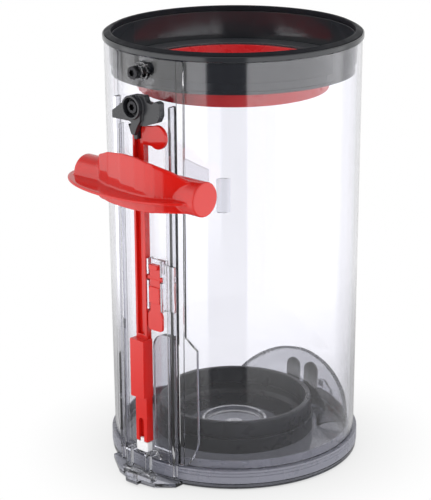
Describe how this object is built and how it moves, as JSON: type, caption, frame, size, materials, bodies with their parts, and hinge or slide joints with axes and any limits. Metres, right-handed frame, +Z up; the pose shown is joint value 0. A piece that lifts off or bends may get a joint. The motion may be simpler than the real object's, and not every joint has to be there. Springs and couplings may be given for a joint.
{
  "type": "clear dust bin of a cordless vacuum cleaner",
  "caption": "Clear tapered dust bin with a dark mouth collar, a red release slider with a handle, a small red catch, and a hinged clear base with a seal ring and an inlet hood.",
  "frame": {"origin": "centre of the base's underside, on the tube's axis", "axes": "+Z up along the tube's axis towards the mouth, -Y towards the runner and the handle, +X to the right seen from outside the runner"},
  "size_m": [0.1228, 0.1546, 0.209],
  "materials": {
    "clear_plastic": "clear moulded polycarbonate, polished",
    "dark_plastic": "dark grey, satin",
    "grey_plastic": "dark grey, fine texture",
    "red_plastic": "bright red, glossy",
    "soft_red": "soft red elastomer, satin",
    "black_rubber": "black elastomer, matt",
    "dark_rubber": "dark grey elastomer, satin",
    "pale_plastic": "pale, semi-clear",
    "black_screw": "blackened steel",
    "steel": "plain steel"
  },
  "bodies": {
    "bin": {"bin_tube": "clear_plastic", "mouth_collar": "dark_plastic", "mouth_seal": "dark_rubber", "wiper_retaining_ring": "grey_plastic", "shroud_wiper": "soft_red", "collar_screw": "black_screw", "actuator_retainer": "grey_plastic", "retainer_screw": "black_screw", "catch_bracket": "clear_plastic", "slider_return_spring": "steel", "hinge_pin": "steel"},
    "slider": {"release_slider": "red_plastic", "slider_tip": "pale_plastic"},
    "catch": {"removal_catch": "red_plastic"},
    "flap": {"base_flap": "clear_plastic", "base_seal": "black_rubber", "cup_seal_carrier": "dark_plastic", "cup_seal_lip": "dark_rubber", "inlet_hood": "clear_plastic", "inlet_valve_left": "black_rubber", "inlet_valve_right": "black_rubber", "latch_pin": "steel", "latch_spring": "steel"},
    "latch": {"base_latch": "clear_plastic"}
  },
  "joints": [
    {"name": "slider_slide", "type": "slide", "parent": "bin", "child": "slider", "axis": [0, 0, 1], "range_m": [-0.011, 0], "stiffness_N_per_m": 300, "springref_m": 0.005, "deforming": ["slider_return_spring"]},
    {"name": "catch_pivot", "type": "hinge", "parent": "bin", "child": "catch", "pos_m": [0.0089, -0.0632, 0.103], "axis": [1, 0, 0], "range_deg": [0, 3.5], "stiffness_Nm_per_rad": 0.05, "springref_deg": -5.73},
    {"name": "flap_hinge", "type": "hinge", "parent": "bin", "child": "flap", "pos_m": [0, 0.0646, 0.0052], "axis": [1, 0, 0], "range_deg": [0, 100]},
    {"name": "latch_pivot", "type": "hinge", "parent": "flap", "child": "latch", "pos_m": [0, -0.0674, 0.0048], "axis": [1, 0, 0], "range_deg": [0, 10], "stiffness_Nm_per_rad": 0.05, "springref_deg": -5.73, "deforming": ["latch_spring"]}
  ]
}
